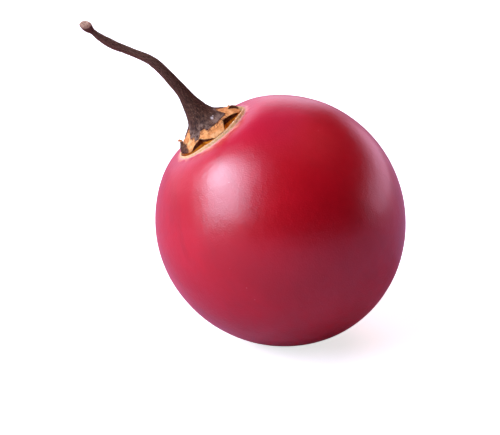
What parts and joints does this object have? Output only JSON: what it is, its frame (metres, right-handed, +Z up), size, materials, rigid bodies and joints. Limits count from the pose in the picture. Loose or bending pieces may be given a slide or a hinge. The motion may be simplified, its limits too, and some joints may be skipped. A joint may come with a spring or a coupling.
{
  "type": "tamarillo",
  "caption": "Whole round red tamarillo with a corky lip, dried calyx and curved woody stalk, lying on a small flat spot on its side.",
  "frame": {"origin": "middle of the small flat spot on the fruit's side, on which it rests", "axes": "+Z up as it rests; the fruit's own axis lies in the XZ plane, with the stalk up towards -X and the blossom end low towards +X; +Y away from the side shown in the picture"},
  "size_m": [0.0677, 0.0518, 0.0694],
  "materials": {
    "skin": "waxy, smooth crimson skin with a soft shine",
    "bark": "dry, ridged dark bark",
    "cork": "dry, rough orange cork of the calyx"
  },
  "bodies": {
    "root": {"fruit": "skin", "stalk_with_calyx": "bark"}
  },
  "joints": []
}
